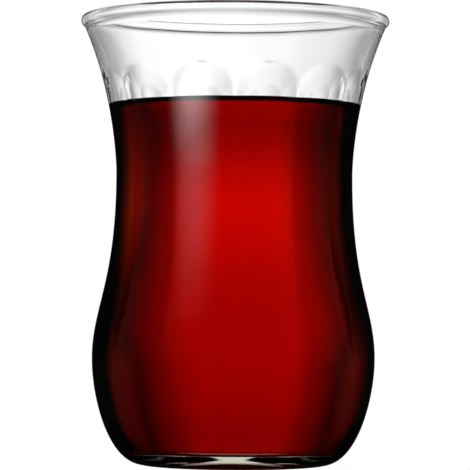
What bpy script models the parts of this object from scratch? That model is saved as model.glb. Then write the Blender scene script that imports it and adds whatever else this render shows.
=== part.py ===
"""A waisted tea glass with twelve flutes inside its wall, filled with black tea.

Lengths are in metres and +Z is up. The origin is the middle of the foot ring, on
the surface that the glass stands on. A ridge between two flutes faces -Y.
"""

import math

import bmesh
import bpy

# Outer wall: radius and height at the places that set its curve
FOOT_RADIUS = 0.0183
BELLY_RADIUS = 0.0284
BELLY_HEIGHT = 0.0213
WAIST_RADIUS = 0.02373
WAIST_HEIGHT = 0.0580
RIM_RADIUS = 0.0310
GLASS_HEIGHT = 0.0900

# How far the outer curve keeps its direction on either side of those places
FOOT_PULL = 0.0064
BELLY_PULL_DOWN = 0.0087
BELLY_PULL_UP = 0.0101
WAIST_PULL_DOWN = 0.0220
WAIST_PULL_UP = 0.0038
NECK_PULL = 0.0137
NECK_FLARE = math.radians(24.1)

# Rounded bead along the mouth, and the angles where the wall leaves and rejoins it
BEAD_RADIUS = 0.0011
BEAD_NOTCH = math.radians(-66.0)
BEAD_INNER_END = math.radians(190.0)

# Wall measured level, at the mouth and from the flutes' tops down
WALL_AT_MOUTH = 0.0015
WALL_AT_BODY = 0.0020

# Flutes pressed into the inner wall
FLUTE_COUNT = 12
FLUTE_DEPTH = 0.00055
FLUTE_TOP = 0.0795
FLUTE_ARCH = 0.0065
FLUTE_FADE_START = 0.0300
FLUTE_FADE_END = 0.0130

# Rounded corner and flat floor of the inside, and the hollow under the foot
BOWL_HEIGHT = 0.0130
BOWL_PULL = 0.0065
FLOOR_HEIGHT = 0.0037
FLOOR_RADIUS = 0.0195
FLOOR_PULL = 0.0225
HOLLOW_RADIUS = 0.0110
HOLLOW_DEPTH = 0.0009

# Tea
TEA_LEVEL = 0.0718
FIT_GAP = 0.0003

# Fineness of the meshes
STEPS_PER_FLUTE = 6
STEPS_AROUND = FLUTE_COUNT * STEPS_PER_FLUTE
FOOT_STEPS = 7
BODY_STEPS = 8
NECK_STEPS = 6
BEAD_STEPS = 7
ARCH_STEPS = 5
UPPER_STEPS = 3
LOWER_STEPS = 9
BOWL_STEPS = 5
HOLLOW_STEPS = 3
SEARCH_STEPS = 40


def remove_old_objects():
    """Empty the scene."""
    for old in list(bpy.data.objects):
        bpy.data.objects.remove(old, do_unlink=True)


def curve_point(curve, t):
    """The (radius, height) at t from 0 to 1 on a curve of four control points."""
    weights = ((1 - t) ** 3, 3 * t * (1 - t) ** 2, 3 * t * t * (1 - t), t ** 3)
    radius = sum(w * point[0] for w, point in zip(weights, curve))
    height = sum(w * point[1] for w, point in zip(weights, curve))
    return radius, height


def curve_points(curve, steps):
    """The points of a curve after its first one."""
    return [curve_point(curve, (i + 1) / steps) for i in range(steps)]


def bead_point(angle):
    """A point on the bead, by its angle from straight out."""
    centre_radius = RIM_RADIUS - BEAD_RADIUS
    centre_height = GLASS_HEIGHT - BEAD_RADIUS
    return (centre_radius + BEAD_RADIUS * math.cos(angle),
            centre_height + BEAD_RADIUS * math.sin(angle))


def outer_curves():
    """The outer wall from the foot ring up to the bead, as three curves."""
    foot = (FOOT_RADIUS, 0.0)
    belly = (BELLY_RADIUS, BELLY_HEIGHT)
    waist = (WAIST_RADIUS, WAIST_HEIGHT)
    neck = bead_point(BEAD_NOTCH)
    lower = (foot,
             (FOOT_RADIUS + FOOT_PULL, 0.0),
             (BELLY_RADIUS, BELLY_HEIGHT - BELLY_PULL_DOWN),
             belly)
    middle = (belly,
              (BELLY_RADIUS, BELLY_HEIGHT + BELLY_PULL_UP),
              (WAIST_RADIUS, WAIST_HEIGHT - WAIST_PULL_DOWN),
              waist)
    upper = (waist,
             (WAIST_RADIUS, WAIST_HEIGHT + WAIST_PULL_UP),
             (neck[0] - NECK_PULL * math.sin(NECK_FLARE),
              neck[1] - NECK_PULL * math.cos(NECK_FLARE)),
             neck)
    return lower, middle, upper


def outer_radius(height):
    """The outer radius at a height, found by halving the curve that spans it."""
    for curve in outer_curves():
        if height <= curve[3][1]:
            break
    low, high = 0.0, 1.0
    for _ in range(SEARCH_STEPS):
        middle = (low + high) / 2
        if curve_point(curve, middle)[1] < height:
            low = middle
        else:
            high = middle
    return curve_point(curve, (low + high) / 2)[0]


def wall_thickness(height):
    """The wall measured level at a ridge: thinner from the flutes' tops to the mouth."""
    neck_height = bead_point(BEAD_NOTCH)[1]
    share = (height - FLUTE_TOP) / (neck_height - FLUTE_TOP)
    share = min(max(share, 0.0), 1.0)
    return WALL_AT_BODY + (WALL_AT_MOUTH - WALL_AT_BODY) * share


def ridge_radius(height):
    """The inner radius on a ridge between two flutes."""
    return outer_radius(height) - wall_thickness(height)


def flute_depth(height, step):
    """How far a flute is cut behind the ridges, at one of the steps around."""
    across = 2.0 * (step % STEPS_PER_FLUTE) / STEPS_PER_FLUTE - 1.0
    arch = min(max((FLUTE_TOP - height) / FLUTE_ARCH, 0.0), 1.0)
    fade = (height - FLUTE_FADE_END) / (FLUTE_FADE_START - FLUTE_FADE_END)
    fade = min(max(fade, 0.0), 1.0)
    return FLUTE_DEPTH * fade * max(0.0, arch - across * across)


def spread(start, end, steps):
    """Evenly spaced heights after the first one."""
    return [start + (end - start) * (i + 1) / steps for i in range(steps)]


def wall_heights():
    """Heights of the inner wall's rows, from the bead down to the rounded bottom."""
    top = bead_point(BEAD_INNER_END)[1]
    heights = spread(top, FLUTE_TOP, UPPER_STEPS)
    heights += spread(FLUTE_TOP, FLUTE_TOP - FLUTE_ARCH, ARCH_STEPS)
    heights += spread(FLUTE_TOP - FLUTE_ARCH, BOWL_HEIGHT, LOWER_STEPS)
    return heights


def bowl_curve():
    """The rounded corner of the inside, from the wall to the flat floor."""
    top = (ridge_radius(BOWL_HEIGHT), BOWL_HEIGHT)
    above = (ridge_radius(BOWL_HEIGHT + BOWL_PULL), BOWL_HEIGHT + BOWL_PULL)
    lean = math.hypot(above[0] - top[0], above[1] - top[1]) / BOWL_PULL
    below = (top[0] - (above[0] - top[0]) / lean, top[1] - (above[1] - top[1]) / lean)
    return top, below, (FLOOR_PULL, FLOOR_HEIGHT), (FLOOR_RADIUS, FLOOR_HEIGHT)


def plain_row(radius, height):
    """A level ring of points with one radius."""
    return [(radius, height)] * STEPS_AROUND


def fluted_row(height, inset):
    """A level ring of points on the fluted inner wall, moved in by inset."""
    radius = ridge_radius(height) - inset
    return [(radius + flute_depth(height, step), height) for step in range(STEPS_AROUND)]


def turned_mesh(name, first_height, rows, last_height):
    """A closed mesh through the rows, with a point on the axis at either end."""
    bm = bmesh.new()
    start = bm.verts.new((0.0, 0.0, first_height))
    rings = []
    for row in rows:
        ring = []
        for step, (radius, height) in enumerate(row):
            angle = 2.0 * math.pi * step / STEPS_AROUND
            ring.append(bm.verts.new((radius * math.sin(angle),
                                      -radius * math.cos(angle),
                                      height)))
        rings.append(ring)
    end = bm.verts.new((0.0, 0.0, last_height))
    for i in range(STEPS_AROUND):
        j = (i + 1) % STEPS_AROUND
        bm.faces.new((start, rings[0][j], rings[0][i]))
        for below, above in zip(rings, rings[1:]):
            bm.faces.new((below[i], below[j], above[j], above[i]))
        bm.faces.new((end, rings[-1][i], rings[-1][j]))
    mesh = bpy.data.meshes.new(name)
    bm.to_mesh(mesh)
    bm.free()
    mesh.shade_smooth()
    return mesh


def add_object(name, mesh, material):
    """Put a mesh in the scene under its own name."""
    mesh.materials.append(material)
    made = bpy.data.objects.new(name, mesh)
    bpy.context.scene.collection.objects.link(made)
    return made


def clear_glass():
    """Colourless soda-lime glass."""
    material = bpy.data.materials.new("clear_glass")
    material.use_nodes = True
    shader = material.node_tree.nodes["Principled BSDF"]
    shader.inputs["Base Color"].default_value = (0.94, 0.97, 0.96, 1.0)
    shader.inputs["Roughness"].default_value = 0.02
    shader.inputs["Metallic"].default_value = 0.0
    shader.inputs["Transmission Weight"].default_value = 1.0
    return material


def black_tea():
    """Strong black tea, deep red where light comes through it."""
    material = bpy.data.materials.new("black_tea")
    material.use_nodes = True
    shader = material.node_tree.nodes["Principled BSDF"]
    shader.inputs["Base Color"].default_value = (0.23, 0.004, 0.002, 1.0)
    shader.inputs["Roughness"].default_value = 0.05
    shader.inputs["Metallic"].default_value = 0.0
    return material


def make_glass():
    """The glass: hollow foot, outer wall, bead, fluted inner wall and flat floor."""
    rows = []
    for i in range(1, HOLLOW_STEPS + 1):
        share = i / HOLLOW_STEPS
        rows.append(plain_row(HOLLOW_RADIUS * share, HOLLOW_DEPTH * (1.0 - share * share)))
    rows.append(plain_row(FOOT_RADIUS, 0.0))
    for curve, steps in zip(outer_curves(), (FOOT_STEPS, BODY_STEPS, NECK_STEPS)):
        rows += [plain_row(*point) for point in curve_points(curve, steps)]
    for i in range(1, BEAD_STEPS + 1):
        angle = BEAD_NOTCH + (BEAD_INNER_END - BEAD_NOTCH) * i / BEAD_STEPS
        rows.append(plain_row(*bead_point(angle)))
    rows += [fluted_row(height, 0.0) for height in wall_heights()]
    rows += [plain_row(*point) for point in curve_points(bowl_curve(), BOWL_STEPS)]
    mesh = turned_mesh("glass", HOLLOW_DEPTH, rows, FLOOR_HEIGHT)
    return add_object("glass", mesh, clear_glass())


def make_tea():
    """The tea: it fills the inside up to its level, a hair clear of the wall."""
    rows = []
    for radius, height in reversed(curve_points(bowl_curve(), BOWL_STEPS)):
        rows.append(plain_row(radius - FIT_GAP, height + FIT_GAP))
    heights = [height for height in wall_heights() if height < TEA_LEVEL - FIT_GAP]
    rows += [fluted_row(height, FIT_GAP) for height in reversed(heights)]
    rows.append(fluted_row(TEA_LEVEL, FIT_GAP))
    mesh = turned_mesh("tea", FLOOR_HEIGHT + FIT_GAP, rows, TEA_LEVEL)
    return add_object("tea", mesh, black_tea())


def main():
    """Build the filled glass."""
    remove_old_objects()
    make_glass()
    make_tea()


main()
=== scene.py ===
"""A waisted tea glass of clear pressed glass, filled with strong black tea.

Lengths are in metres and +Z is up. The glass stands on its foot at the origin, and the
photograph's camera looks at it from -Y.
"""

import math

import bmesh
import bpy
import numpy
from mathutils import Matrix, Vector


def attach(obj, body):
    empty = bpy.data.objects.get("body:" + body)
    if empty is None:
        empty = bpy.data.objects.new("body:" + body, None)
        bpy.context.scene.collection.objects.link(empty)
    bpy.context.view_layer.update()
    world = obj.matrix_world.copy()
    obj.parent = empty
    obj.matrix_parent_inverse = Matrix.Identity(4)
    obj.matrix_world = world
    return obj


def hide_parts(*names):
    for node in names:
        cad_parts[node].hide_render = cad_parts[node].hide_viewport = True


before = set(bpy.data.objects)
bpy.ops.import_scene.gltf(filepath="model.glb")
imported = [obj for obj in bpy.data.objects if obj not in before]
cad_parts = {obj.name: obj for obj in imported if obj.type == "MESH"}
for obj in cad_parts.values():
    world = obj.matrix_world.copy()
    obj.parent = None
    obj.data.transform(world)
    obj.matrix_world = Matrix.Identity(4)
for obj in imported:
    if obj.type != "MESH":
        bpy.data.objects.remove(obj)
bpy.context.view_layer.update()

# Outer wall: radius and height at the places that set its curve, as in the solids
FOOT_RADIUS = 0.0183
BELLY_RADIUS = 0.0284
BELLY_HEIGHT = 0.0213
WAIST_RADIUS = 0.02373
WAIST_HEIGHT = 0.0580
RIM_RADIUS = 0.0310
GLASS_HEIGHT = 0.0900

# How far the outer curve keeps its direction on either side of those places
FOOT_PULL = 0.0064
BELLY_PULL_DOWN = 0.0087
BELLY_PULL_UP = 0.0101
WAIST_PULL_DOWN = 0.0220
WAIST_PULL_UP = 0.0038
NECK_PULL = 0.0137
NECK_FLARE = math.radians(24.1)

# Rounded bead along the mouth, and the angles where the wall leaves and rejoins it
BEAD_RADIUS = 0.0011
BEAD_NOTCH = math.radians(-66.0)
BEAD_INNER_END = math.radians(190.0)

# Wall measured level, at the mouth and from the flutes' tops down
WALL_AT_MOUTH = 0.0015
WALL_AT_BODY = 0.0020

# Flutes pressed into the inner wall
FLUTE_COUNT = 12
FLUTE_DEPTH = 0.00055
FLUTE_TOP = 0.0795
FLUTE_ARCH = 0.0065
FLUTE_FADE_START = 0.0300
FLUTE_FADE_END = 0.0130

# Rounded corner and flat floor of the inside, and the hollow under the foot
BOWL_HEIGHT = 0.0130
BOWL_PULL = 0.0065
FLOOR_HEIGHT = 0.0037
FLOOR_RADIUS = 0.0195
FLOOR_PULL = 0.0225
HOLLOW_RADIUS = 0.0110
HOLLOW_DEPTH = 0.0009

# Tea: its level, the rim that climbs the wall, and how far it reaches into the wall
TEA_LEVEL = 0.0713
MENISCUS_RISE = 0.0011
MENISCUS_WIDTH = 0.0018
TEA_BITE = 0.00005

# Point attributes: where glass and tea meet, and how much painted shade a flute's face gets
TOUCHING = "touching"
FLUTE_SHADE = "flute_shade"

# Fineness of the meshes, and how closely the tea's rings crowd towards the wall
STEPS_PER_FLUTE = 20
STEPS_AROUND = FLUTE_COUNT * STEPS_PER_FLUTE
FOOT_STEPS = 28
BODY_STEPS = 32
NECK_STEPS = 28
BEAD_STEPS = 24
UPPER_STEPS = 10
ARCH_STEPS = 14
LOWER_STEPS = 60
BOWL_STEPS = 24
HOLLOW_STEPS = 14
SURFACE_STEPS = 40
SURFACE_CROWDING = 0.35
SEARCH_STEPS = 40

# Clear glass and clear tea: index, the colour that light keeps in their depth, and density
GLASS_INDEX = 1.5
GLASS_DEPTH_COLOUR = (0.72, 0.90, 0.84, 1.0)
GLASS_DENSITY = 12.0
TEA_INDEX = 1.333
TEA_DEPTH_COLOUR = (0.96, 0.56, 0.0, 1.0)
TEA_DENSITY = 360.0

WHITE = (1.0, 1.0, 1.0, 1.0)

# Painted shade by how far a surface turns from sight, for the dark edges that bent light gives:
# dry glass, glass round the tea, and tea, whose ramp also paints amber strips near its edge
GLASS_EDGE_SHADE = ((0.48, 1.0), (0.54, 0.84), (0.62, 0.56), (0.70, 0.47), (0.85, 0.28), (1.0, 0.2))
WET_GLASS_SHADE = ((0.50, 1.0), (0.55, 0.4), (0.62, 0.08), (0.70, 0.03), (1.0, 0.02))
TEA_EDGE_SHADE = ((0.042, 1.0), (0.058, 0.8), (0.07, 0.68), (0.085, 0.62), (0.10, 0.56),
            (0.113, 0.48), (0.13, 0.35), (0.15, 0.30), (0.165, 0.27), (0.18, (0.19, 0.50, 0.1)),
            (0.20, (0.11, 0.58, 0.05)), (0.215, (0.09, 0.50, 0.03)), (0.23, (0.03, 0.20, 0.01)),
            (0.245, 0.004), (0.26, 0.0))

# Where the glass's painted edge shade counts it as wet and as the rim, by share of the glass's
# height
WET_HEIGHTS = ((0.790, 1.0), (0.797, 0.0))
RIM_HEIGHTS = ((0.955, 0.0), (0.970, 1.0))

# How far the tea's painted edge shade shifts by height, as if lit more from one side: towards -X
# at level 1, to +X at level 0
TEA_SIDE = 0.05
TEA_SIDE_HEIGHTS = ((0.30, 0.0), (0.43, 0.5), (0.56, 0.9), (0.72, 0.9), (0.80, 0.5))

# Painted shade on the flutes' faces above the tea, by how deep the flute is there
SHADED_DEPTHS = (0.0, 0.08, 0.3, 0.7, 1.0)
FLUTE_SHADES = (0.0, 0.10, 0.28, 0.26, 0.08)

# How much less painted shade they get on the side away from the Y axis, and where it fades out
PALE_SIDE = 0.9
FLUTE_HEIGHTS = ((0.815, 1.0), (0.880, 0.0))

# Painted shade on the thick base by height, in a warm grey
BASE_PAINTED_SHADE = ((0.036, (0.62, 0.59, 0.53)), (0.050, 1.0))

# Faces that count as level, by how upright their normal is
LEVEL_FACES = ((0.90, 0.0), (0.97, 1.0))

# Painted light and shade on the tea by height: brightest round the waist, darker low down and
# towards the surface
TEA_PAINTED_SHADE = ((0.043, 1.0), (0.048, 0.42), (0.11, 0.42), (0.16, 0.53), (0.22, 0.61), (0.31, 0.64),
            (0.40, 0.71), (0.47, 0.86), (0.56, 0.96), (0.60, 0.93), (0.645, 0.80), (0.69, 0.64),
            (0.74, 0.48), (0.785, 0.44), (0.80, 0.40))

# Mirror shine by height
SHINE_BY_HEIGHT = ((0.31, 0.0), (0.40, 0.8), (0.50, 1.0))

# Studio: lobes of light around the glass, by the share of the way from lobe to gap
LOBES = 8.0
LOBE_TURN = math.radians(2.0)
LOBE_IN_GLASS = ((0.0, 1.2), (0.1, 1.14), (0.2, 1.04), (0.4, 0.82), (0.7, 0.62), (1.0, 0.55))
LOBE_IN_TEA = ((0.35, 1.17), (0.6, 0.7), (1.0, 0.17))

# How the studio fades upwards, and what gloss sees of it
SKY_IN_GLASS = ((0.12, 1.0), (0.5, 0.58), (1.0, 0.5))
SKY_IN_TEA = ((0.0, 1.0), (0.27, 0.9), (0.34, 0.35), (0.41, 0.02))
SKY_IN_GLOSS = (0.004, 0.004, 0.004, 1.0)

# Surfaces that light crosses to the sky or the floor without meeting the tea, and a half
DRY_CROSSINGS_TO_SKY = 4.5
DRY_CROSSINGS_TO_FLOOR = 3.5

# Light runs along inside the thick base, from face to face
MOST_BOUNCES = 40

# Soft leaning card that only reflections see, with its glow by height
CARD_AZIMUTH = math.radians(37.5)
CARD_LEAN = math.radians(9.0)
CARD_DISTANCE = 0.150
CARD_WIDTH = 0.170
CARD_LOW = 0.022
CARD_HIGH = 0.122
CARD_SOFTNESS = 4.0
CARD_STRENGTH = 6.0
CARD_GLOW = ((0.0, 0.0), (0.05, 1.0), (0.1, 0.95), (0.23, 0.34), (0.45, 0.13), (0.68, 0.04),
             (1.0, 0.0))

# Floor, and how bright it is through glass and tea, by distance as a share of its reach: a
# painted shadow round the foot
FLOOR_HALF = 3.0
FLOOR_DROP = 0.0001
FLOOR_REACH = 0.2
FLOOR_SHADOW_IN_GLASS = ((0.12, 0.02), (0.16, 0.35), (0.3, 0.75), (0.7, 1.0))
FLOOR_SHADOW_IN_TEA = ((0.09, 1.0), (0.14, 0.0), (0.3, 0.15), (0.7, 0.9), (1.0, 1.0))

# Where the lobes give way to plain white, under the foot
UNDER_FOOT = ((0.10, 1.0), (0.16, 0.0))

# Camera: where the photograph was taken from
CAMERA_DISTANCE = 0.513
CAMERA_HEIGHT = 0.0355
CAMERA_SIDE = 0.0002
CAMERA_PITCH = math.radians(1.17)
CAMERA_ROLL = math.radians(0.35)
CAMERA_FOCAL_PIXELS = 2550.0
CAMERA_SENSOR = 36.0
CAMERA_NEAR = 0.01
PHOTO_PIXELS = 470


def curve_point(curve, t):
    """The (radius, height) at t from 0 to 1 on a curve of four control points."""
    weights = ((1 - t) ** 3, 3 * t * (1 - t) ** 2, 3 * t * t * (1 - t), t ** 3)
    radius = sum(w * point[0] for w, point in zip(weights, curve))
    height = sum(w * point[1] for w, point in zip(weights, curve))
    return radius, height


def curve_points(curve, steps):
    """The points of a curve after its first one."""
    return [curve_point(curve, (i + 1) / steps) for i in range(steps)]


def bead_point(angle):
    """A point on the bead, by its angle from straight out."""
    centre_radius = RIM_RADIUS - BEAD_RADIUS
    centre_height = GLASS_HEIGHT - BEAD_RADIUS
    return (centre_radius + BEAD_RADIUS * math.cos(angle),
            centre_height + BEAD_RADIUS * math.sin(angle))


def outer_curves():
    """The outer wall from the foot ring up to the bead, as three curves."""
    foot = (FOOT_RADIUS, 0.0)
    belly = (BELLY_RADIUS, BELLY_HEIGHT)
    waist = (WAIST_RADIUS, WAIST_HEIGHT)
    neck = bead_point(BEAD_NOTCH)
    lower = (foot,
             (FOOT_RADIUS + FOOT_PULL, 0.0),
             (BELLY_RADIUS, BELLY_HEIGHT - BELLY_PULL_DOWN),
             belly)
    middle = (belly,
              (BELLY_RADIUS, BELLY_HEIGHT + BELLY_PULL_UP),
              (WAIST_RADIUS, WAIST_HEIGHT - WAIST_PULL_DOWN),
              waist)
    upper = (waist,
             (WAIST_RADIUS, WAIST_HEIGHT + WAIST_PULL_UP),
             (neck[0] - NECK_PULL * math.sin(NECK_FLARE),
              neck[1] - NECK_PULL * math.cos(NECK_FLARE)),
             neck)
    return lower, middle, upper


def outer_radius(height):
    """The outer radius at a height, found by halving the curve that spans it."""
    for curve in outer_curves():
        if height <= curve[3][1]:
            break
    low, high = 0.0, 1.0
    for _ in range(SEARCH_STEPS):
        middle = (low + high) / 2
        if curve_point(curve, middle)[1] < height:
            low = middle
        else:
            high = middle
    return curve_point(curve, (low + high) / 2)[0]


def wall_thickness(height):
    """The wall measured level at a ridge: thinner from the flutes' tops to the mouth."""
    neck_height = bead_point(BEAD_NOTCH)[1]
    share = (height - FLUTE_TOP) / (neck_height - FLUTE_TOP)
    share = min(max(share, 0.0), 1.0)
    return WALL_AT_BODY + (WALL_AT_MOUTH - WALL_AT_BODY) * share


def ridge_radius(height):
    """The inner radius on a ridge between two flutes."""
    return outer_radius(height) - wall_thickness(height)


def across_flute(step):
    """How far across its flute a step around lies, from -1 to 1."""
    return 2.0 * (step % STEPS_PER_FLUTE) / STEPS_PER_FLUTE - 1.0


def flute_share(height, step):
    """How deep a flute is at one of the steps around, as a share of its full depth."""
    arch = min(max((FLUTE_TOP - height) / FLUTE_ARCH, 0.0), 1.0)
    rounded_arch = arch * (2.0 - arch)
    fade = (height - FLUTE_FADE_END) / (FLUTE_FADE_START - FLUTE_FADE_END)
    fade = min(max(fade, 0.0), 1.0)
    return fade * max(0.0, rounded_arch - across_flute(step) ** 2)


def flute_shade(height, step):
    """How much painted shade a flute's face gets: least on its side away from the Y axis."""
    quarter = 4 * step // STEPS_AROUND
    outward = across_flute(step) if quarter % 2 == 0 else -across_flute(step)
    shade = numpy.interp(flute_share(height, step), SHADED_DEPTHS, FLUTE_SHADES)
    return shade * (1.0 - PALE_SIDE * max(0.0, outward))


def spread(start, end, steps):
    """Evenly spaced heights after the first one."""
    return [start + (end - start) * (i + 1) / steps for i in range(steps)]


def wall_heights():
    """Heights of the inner wall's rows, from the bead down to the rounded bottom."""
    top = bead_point(BEAD_INNER_END)[1]
    heights = spread(top, FLUTE_TOP, UPPER_STEPS)
    heights += spread(FLUTE_TOP, FLUTE_TOP - FLUTE_ARCH, ARCH_STEPS)
    heights += spread(FLUTE_TOP - FLUTE_ARCH, BOWL_HEIGHT, LOWER_STEPS)
    return heights


def bowl_curve():
    """The rounded corner of the inside, from the wall to the flat floor."""
    top = (ridge_radius(BOWL_HEIGHT), BOWL_HEIGHT)
    above = (ridge_radius(BOWL_HEIGHT + BOWL_PULL), BOWL_HEIGHT + BOWL_PULL)
    lean = math.hypot(above[0] - top[0], above[1] - top[1]) / BOWL_PULL
    below = (top[0] - (above[0] - top[0]) / lean, top[1] - (above[1] - top[1]) / lean)
    return top, below, (FLOOR_PULL, FLOOR_HEIGHT), (FLOOR_RADIUS, FLOOR_HEIGHT)


def plain_row(radius, height):
    """A level ring of points with one radius."""
    return [(radius, height)] * STEPS_AROUND


def fluted_row(height, inset):
    """A level ring of points on the fluted inner wall, moved in by inset."""
    radius = ridge_radius(height) - inset
    return [(radius + FLUTE_DEPTH * flute_share(height, step), height)
            for step in range(STEPS_AROUND)]


def add_object(name, data):
    """Put a mesh or a camera in the scene."""
    made = bpy.data.objects.new(name, data)
    bpy.context.scene.collection.objects.link(made)
    return made


def turned_piece(name, first_height, rows, last_height, touching):
    """A closed piece through the rows, with a point on the axis at either end.

    touching says for each row whether glass and tea meet there. The materials read it,
    and how much painted shade each point of a flute gets.
    """
    bm = bmesh.new()
    meets = bm.verts.layers.float.new(TOUCHING)
    shade = bm.verts.layers.float.new(FLUTE_SHADE)
    start = bm.verts.new((0.0, 0.0, first_height))
    start[meets] = touching[0]
    rings = []
    for row, touches in zip(rows, touching):
        fluted = len(set(row)) > 1
        ring = []
        for step, (radius, height) in enumerate(row):
            angle = 2.0 * math.pi * step / STEPS_AROUND
            point = bm.verts.new((radius * math.sin(angle), -radius * math.cos(angle), height))
            point[meets] = touches
            point[shade] = flute_shade(height, step) if fluted else 0.0
            ring.append(point)
        rings.append(ring)
    end = bm.verts.new((0.0, 0.0, last_height))
    end[meets] = touching[-1]
    for i in range(STEPS_AROUND):
        j = (i + 1) % STEPS_AROUND
        bm.faces.new((start, rings[0][j], rings[0][i]))
        for below, above in zip(rings, rings[1:]):
            bm.faces.new((below[i], below[j], above[j], above[i]))
        bm.faces.new((end, rings[-1][i], rings[-1][j]))
    mesh = bpy.data.meshes.new(name)
    bm.to_mesh(mesh)
    bm.free()
    mesh.shade_smooth()
    return add_object(name, mesh)


def glass_rows():
    """The glass, from the hollow under the foot up, over the bead and down inside."""
    rows = []
    for i in range(1, HOLLOW_STEPS + 1):
        share = i / HOLLOW_STEPS
        rows.append(plain_row(HOLLOW_RADIUS * share, HOLLOW_DEPTH * (1.0 - share * share)))
    rows.append(plain_row(FOOT_RADIUS, 0.0))
    for curve, steps in zip(outer_curves(), (FOOT_STEPS, BODY_STEPS, NECK_STEPS)):
        rows += [plain_row(*point) for point in curve_points(curve, steps)]
    for i in range(1, BEAD_STEPS + 1):
        angle = BEAD_NOTCH + (BEAD_INNER_END - BEAD_NOTCH) * i / BEAD_STEPS
        rows.append(plain_row(*bead_point(angle)))
    outside = len(rows)
    rows += [fluted_row(height, 0.0) for height in wall_heights()]
    rows += [plain_row(*point) for point in curve_points(bowl_curve(), BOWL_STEPS)]
    touching = [0.0] * outside
    touching += [float(row[0][1] < TEA_LEVEL + MENISCUS_RISE) for row in rows[outside:]]
    return rows, touching


def tea_rows():
    """The tea, from its floor up the fluted wall and in across its curved-up surface."""
    rows = []
    for radius, height in reversed(curve_points(bowl_curve(), BOWL_STEPS)):
        rows.append(plain_row(radius + TEA_BITE, height - TEA_BITE))
    edge_height = TEA_LEVEL + MENISCUS_RISE
    heights = [height for height in wall_heights() if height < edge_height]
    rows += [fluted_row(height, -TEA_BITE) for height in reversed(heights)]
    edge = fluted_row(edge_height, -TEA_BITE)
    rows.append(edge)
    touching = [1.0] * len(rows)
    for i in range(1, SURFACE_STEPS):
        share = 1.0 - i / SURFACE_STEPS
        reach = edge[0][0] * (1.0 - share ** SURFACE_CROWDING)
        height = TEA_LEVEL + MENISCUS_RISE * math.exp(-reach / MENISCUS_WIDTH)
        rows.append([(radius - reach, height) for radius, _ in edge])
        touching.append(0.0)
    return rows, touching


def feed(links, socket, value):
    """Give an input its value: another node's output, or a number or colour."""
    if isinstance(value, bpy.types.NodeSocket):
        links.new(value, socket)
    else:
        socket.default_value = value


def maths(nodes, links, operation, *values):
    """A maths node on sockets or numbers."""
    node = nodes.new("ShaderNodeMath")
    node.operation = operation
    for socket, value in zip(node.inputs, values):
        feed(links, socket, value)
    return node.outputs["Value"]


def vector_maths(nodes, links, operation, *values):
    """A vector maths node on vectors or colours."""
    node = nodes.new("ShaderNodeVectorMath")
    node.operation = operation
    for socket, value in zip(node.inputs, values):
        feed(links, socket, value)
    return node.outputs["Value" if operation == "LENGTH" else "Vector"]


def times(nodes, links, first, second):
    """Two colours multiplied."""
    return vector_maths(nodes, links, "MULTIPLY", first, second)


def coordinates(nodes, links, vector):
    """The X, Y and Z of a vector."""
    parts = nodes.new("ShaderNodeSeparateXYZ")
    links.new(vector, parts.inputs["Vector"])
    return tuple(parts.outputs)


def blend(nodes, links, share, first, second):
    """From the first colour to the second by share."""
    mix = nodes.new("ShaderNodeMix")
    mix.data_type = "RGBA"
    feed(links, mix.inputs["Factor"], share)
    feed(links, mix.inputs["A"], first)
    feed(links, mix.inputs["B"], second)
    return mix.outputs["Result"]


def ramp(nodes, links, factor, stops):
    """A ramp from (position, level) pairs. A level is a grey, or red, green and blue."""
    node = nodes.new("ShaderNodeValToRGB")
    elements = node.color_ramp.elements
    elements.remove(elements[-1])
    for i, (position, level) in enumerate(stops):
        element = elements[0] if i == 0 else elements.new(position)
        element.position = position
        colour = level if isinstance(level, tuple) else (level, level, level)
        element.color = (*colour, 1.0)
    links.new(factor, node.inputs["Fac"])
    return node.outputs["Color"]


def ramp_by_height(nodes, links, stops):
    """A ramp by the height on the piece, as a share of the glass's height."""
    place = nodes.new("ShaderNodeTexCoord").outputs["Object"]
    _, _, height = coordinates(nodes, links, place)
    return ramp(nodes, links, maths(nodes, links, "DIVIDE", height, GLASS_HEIGHT), stops)


def point_attribute(nodes, name):
    """A number that the mesh's points carry."""
    node = nodes.new("ShaderNodeAttribute")
    node.attribute_name = name
    return node.outputs["Fac"]


def dry_share(nodes, links):
    """1 on dry surfaces and 0 where glass and tea meet."""
    return maths(nodes, links, "SUBTRACT", 1.0, point_attribute(nodes, TOUCHING))


def painted_glass_edge_shade(nodes, links):
    """Painted shade towards the glass's edges: strongest round the tea, and none on the bead."""
    turn = nodes.new("ShaderNodeLayerWeight").outputs["Facing"]
    shade = blend(nodes, links, ramp_by_height(nodes, links, WET_HEIGHTS),
                  ramp(nodes, links, turn, GLASS_EDGE_SHADE),
                  ramp(nodes, links, turn, WET_GLASS_SHADE))
    return blend(nodes, links, ramp_by_height(nodes, links, RIM_HEIGHTS), shade, WHITE)


def painted_flute_shading(nodes, links):
    """Painted shade on the faces cut into the dry part of the inner wall."""
    shade = maths(nodes, links, "MULTIPLY",
                  point_attribute(nodes, FLUTE_SHADE), dry_share(nodes, links))
    faded = maths(nodes, links, "MULTIPLY", shade, ramp_by_height(nodes, links, FLUTE_HEIGHTS))
    return maths(nodes, links, "SUBTRACT", 1.0, faded)


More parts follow.
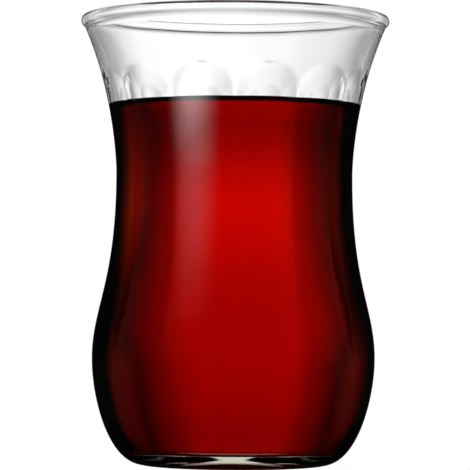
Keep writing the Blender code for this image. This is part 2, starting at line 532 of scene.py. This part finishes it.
def painted_tea_edge_shade(nodes, links):
    """Painted shade towards the tea's sides, as seen level with them, with painted amber strips
    near the edge where light comes through less tea.

    The flutes' own slopes are left out, so that the painted shade follows the round form. It is
    shifted a little to one side by height, as painted light from one side.
    """
    place = nodes.new("ShaderNodeTexCoord").outputs["Object"]
    level = vector_maths(nodes, links, "MULTIPLY", place, (1.0, 1.0, 0.0))
    outward = vector_maths(nodes, links, "NORMALIZE", level)
    weight = nodes.new("ShaderNodeLayerWeight")
    links.new(outward, weight.inputs["Normal"])
    amount = maths(nodes, links, "SUBTRACT", ramp_by_height(nodes, links, TEA_SIDE_HEIGHTS), 0.5)
    side = maths(nodes, links, "MULTIPLY", amount, TEA_SIDE)
    sideways, _, _ = coordinates(nodes, links, outward)
    shift = maths(nodes, links, "MULTIPLY", sideways, side)
    turn = maths(nodes, links, "ADD", weight.outputs["Facing"], shift)
    return ramp(nodes, links, turn, TEA_EDGE_SHADE)


def clear_when_level(nodes, links, shade):
    """A painted shade that gives way to white on level faces, so that they pass all light.

    Light runs along inside the thick base from one of them to another, and comes up
    through the tea's surface.
    """
    normal = nodes.new("ShaderNodeNewGeometry").outputs["Normal"]
    _, _, up = coordinates(nodes, links, normal)
    upright = maths(nodes, links, "ABSOLUTE", up)
    return blend(nodes, links, ramp(nodes, links, upright, LEVEL_FACES), shade, WHITE)


def clear_material(name, index, depth_colour, density):
    """A clear material with colour in its depth, and its nodes.

    It has no mirror shine where glass and tea meet, as their indices are close. The
    shine also fades out from the waist down to the belly.
    """
    material = bpy.data.materials.new(name)
    material.use_nodes = True
    nodes = material.node_tree.nodes
    links = material.node_tree.links
    shader = nodes["Principled BSDF"]
    shader.inputs["Roughness"].default_value = 0.0
    shader.inputs["IOR"].default_value = index
    shader.inputs["Transmission Weight"].default_value = 1.0
    shine = maths(nodes, links, "MULTIPLY",
                  dry_share(nodes, links), ramp_by_height(nodes, links, SHINE_BY_HEIGHT))
    links.new(shine, shader.inputs["Specular Tint"])
    depth = nodes.new("ShaderNodeVolumeAbsorption")
    depth.inputs["Color"].default_value = depth_colour
    depth.inputs["Density"].default_value = density
    links.new(depth.outputs["Volume"], nodes["Material Output"].inputs["Volume"])
    return material, nodes, links, shader


def clear_glass():
    """Colourless pressed glass, faintly grey-green in its depth."""
    material, nodes, links, shader = clear_material(
        "clear_glass", GLASS_INDEX, GLASS_DEPTH_COLOUR, GLASS_DENSITY)
    # Painted shade towards the glass's edges
    shade = clear_when_level(nodes, links, painted_glass_edge_shade(nodes, links))
    # Painted shade on the flutes' faces above the tea
    shade = times(nodes, links, shade, painted_flute_shading(nodes, links))
    # Painted shade on the thick base
    shade = times(nodes, links, shade, ramp_by_height(nodes, links, BASE_PAINTED_SHADE))
    links.new(shade, shader.inputs["Base Color"])
    return material


def black_tea():
    """Clear strong tea that takes nearly all green and blue light within its depth."""
    material, nodes, links, shader = clear_material(
        "black_tea", TEA_INDEX, TEA_DEPTH_COLOUR, TEA_DENSITY)
    # Painted shade and amber strips towards the tea's sides
    shade = clear_when_level(nodes, links, painted_tea_edge_shade(nodes, links))
    # Painted light and shade on the tea by height
    shade = times(nodes, links, shade, ramp_by_height(nodes, links, TEA_PAINTED_SHADE))
    links.new(shade, shader.inputs["Base Color"])
    return material


def make_glass():
    """The glass, in place of its plain solid."""
    rows, touching = glass_rows()
    piece = turned_piece("glass_body", HOLLOW_DEPTH, rows, FLOOR_HEIGHT, touching)
    piece.data.materials.append(clear_glass())
    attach(piece, "root")
    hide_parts("glass")


def make_tea():
    """The tea, in place of its plain solid, reaching just into the wall."""
    rows, touching = tea_rows()
    piece = turned_piece("tea_body", FLOOR_HEIGHT - TEA_BITE, rows, TEA_LEVEL, touching)
    piece.data.materials.append(black_tea())
    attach(piece, "root")
    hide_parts("tea")


def through_tea(nodes, links, dry_crossings):
    """1 for light that has crossed more surfaces than the glass alone has."""
    path = nodes.new("ShaderNodeLightPath")
    return maths(nodes, links, "GREATER_THAN", path.outputs["Transmission Depth"], dry_crossings)


def studio_field(nodes, links, direction):
    """How bright the studio is in a direction, for light that has come through glass.

    It has a soft lobe at every eighth of a turn and fades upwards. Light that has come
    through the tea as well meets deeper gaps and a deeper fade.
    """
    x, y, up = coordinates(nodes, links, direction)
    azimuth = maths(nodes, links, "ADD", maths(nodes, links, "ARCTAN2", x, y), LOBE_TURN)
    turns = maths(nodes, links, "MULTIPLY", azimuth, LOBES / (2.0 * math.pi))
    off_lobe = maths(nodes, links, "PINGPONG", turns, 0.5)
    share = maths(nodes, links, "MULTIPLY", off_lobe, 2.0)
    soft = times(nodes, links, ramp(nodes, links, share, LOBE_IN_GLASS),
                 ramp(nodes, links, up, SKY_IN_GLASS))
    deep = times(nodes, links, ramp(nodes, links, share, LOBE_IN_TEA),
                 ramp(nodes, links, up, SKY_IN_TEA))
    return blend(nodes, links, through_tea(nodes, links, DRY_CROSSINGS_TO_SKY), soft, deep)


def light(nodes, links, kind, colour, strength=1.0):
    """A shader that gives light."""
    node = nodes.new(kind)
    feed(links, node.inputs["Color"], colour)
    node.inputs["Strength"].default_value = strength
    return node.outputs[0]


def by_ray(nodes, links, kind, others, chosen):
    """One shader for rays of a kind, and another for all others."""
    path = nodes.new("ShaderNodeLightPath")
    mix = nodes.new("ShaderNodeMixShader")
    links.new(path.outputs[kind], mix.inputs["Fac"])
    links.new(others, mix.inputs[1])
    links.new(chosen, mix.inputs[2])
    return mix.outputs["Shader"]


def make_world():
    """White for the camera, dark for gloss, and the studio's field through glass."""
    world = bpy.data.worlds.new("studio")
    bpy.context.scene.world = world
    world.use_nodes = True
    nodes = world.node_tree.nodes
    links = world.node_tree.links
    nodes.clear()
    direction = nodes.new("ShaderNodeTexCoord").outputs["Generated"]
    field = light(nodes, links, "ShaderNodeBackground", studio_field(nodes, links, direction))
    dark = light(nodes, links, "ShaderNodeBackground", SKY_IN_GLOSS)
    white = light(nodes, links, "ShaderNodeBackground", WHITE)
    unseen = by_ray(nodes, links, "Is Transmission Ray", dark, field)
    shown = by_ray(nodes, links, "Is Camera Ray", unseen, white)
    output = nodes.new("ShaderNodeOutputWorld")
    links.new(shown, output.inputs["Surface"])


def stage_material(name, make_surface):
    """A material for the stage, with the surface that a function makes of its nodes."""
    material = bpy.data.materials.new(name)
    material.use_nodes = True
    nodes = material.node_tree.nodes
    links = material.node_tree.links
    nodes.clear()
    output = nodes.new("ShaderNodeOutputMaterial")
    links.new(make_surface(nodes, links), output.inputs["Surface"])
    return material


def stage_panel(name, corners, material):
    """A panel of one face."""
    mesh = bpy.data.meshes.new(name)
    mesh.from_pydata(corners, [], [(0, 1, 2, 3)])
    mesh.materials.append(material)
    return add_object(name, mesh)


def card_surface(nodes, links):
    """A glow, bright low down and soft at the sides, that rays through glass don't meet."""
    place = nodes.new("ShaderNodeTexCoord").outputs["Generated"]
    x, _, z = coordinates(nodes, links, place)
    across = maths(nodes, links, "SINE", maths(nodes, links, "MULTIPLY", x, math.pi))
    softened = maths(nodes, links, "POWER", across, CARD_SOFTNESS)
    glow = times(nodes, links, ramp(nodes, links, z, CARD_GLOW), softened)
    shining = light(nodes, links, "ShaderNodeEmission", glow, CARD_STRENGTH)
    clear = nodes.new("ShaderNodeBsdfTransparent")
    return by_ray(nodes, links, "Is Transmission Ray", shining, clear.outputs["BSDF"])


def make_card():
    """The card that makes the streak of light on the glass."""
    half = CARD_WIDTH / 2
    corners = ((-half, 0.0, CARD_LOW), (half, 0.0, CARD_LOW),
               (half, 0.0, CARD_HIGH), (-half, 0.0, CARD_HIGH))
    card = stage_panel("card", corners, stage_material("card_glow", card_surface))
    card.location = (-CARD_DISTANCE * math.sin(CARD_AZIMUTH),
                     -CARD_DISTANCE * math.cos(CARD_AZIMUTH),
                     0.0)
    card.rotation_euler = (0.0, CARD_LEAN, -CARD_AZIMUTH)
    card.visible_camera = False
    card.visible_diffuse = False
    card.visible_shadow = False


def floor_surface(nodes, links):
    """White for the camera, and through glass the studio's field, with a painted shadow round
    the foot.
    """
    place = nodes.new("ShaderNodeTexCoord").outputs["Object"]
    distance = vector_maths(nodes, links, "LENGTH", place)
    share = maths(nodes, links, "DIVIDE", distance, FLOOR_REACH)
    field = blend(nodes, links, ramp(nodes, links, share, UNDER_FOOT),
                  studio_field(nodes, links, place), WHITE)
    near = blend(nodes, links, through_tea(nodes, links, DRY_CROSSINGS_TO_FLOOR),
                 ramp(nodes, links, share, FLOOR_SHADOW_IN_GLASS),
                 ramp(nodes, links, share, FLOOR_SHADOW_IN_TEA))
    through_glass = light(nodes, links, "ShaderNodeEmission", times(nodes, links, field, near))
    seen = light(nodes, links, "ShaderNodeEmission", WHITE)
    return by_ray(nodes, links, "Is Camera Ray", through_glass, seen)


def make_floor():
    """A wide pale floor just under the foot."""
    corners = [(FLOOR_HALF * x, FLOOR_HALF * y, -FLOOR_DROP)
               for x, y in ((-1, -1), (1, -1), (1, 1), (-1, 1))]
    floor = stage_panel("floor", corners, stage_material("pale_floor", floor_surface))
    floor.visible_glossy = False


def make_camera():
    """The photograph's camera, between belly and waist, looking slightly up."""
    data = bpy.data.cameras.new("photo_camera")
    data.sensor_width = CAMERA_SENSOR
    data.lens = CAMERA_FOCAL_PIXELS * CAMERA_SENSOR / PHOTO_PIXELS
    data.clip_start = CAMERA_NEAR
    camera = add_object("photo_camera", data)
    upright = Matrix.Rotation(math.radians(90.0) + CAMERA_PITCH, 4, "X")
    roll = Matrix.Rotation(CAMERA_ROLL, 4, "Z")
    place = Matrix.Translation(Vector((CAMERA_SIDE, -CAMERA_DISTANCE, CAMERA_HEIGHT)))
    camera.matrix_world = place @ upright @ roll
    bpy.context.scene.camera = camera


def set_view_and_bounces():
    """Plain colours, and as many bounces as light takes inside the base."""
    scene = bpy.context.scene
    scene.view_settings.view_transform = "Standard"
    scene.cycles.max_bounces = MOST_BOUNCES
    scene.cycles.glossy_bounces = MOST_BOUNCES
    scene.cycles.transmission_bounces = MOST_BOUNCES


make_glass()
make_tea()
make_world()
make_card()
make_floor()
make_camera()
set_view_and_bounces()
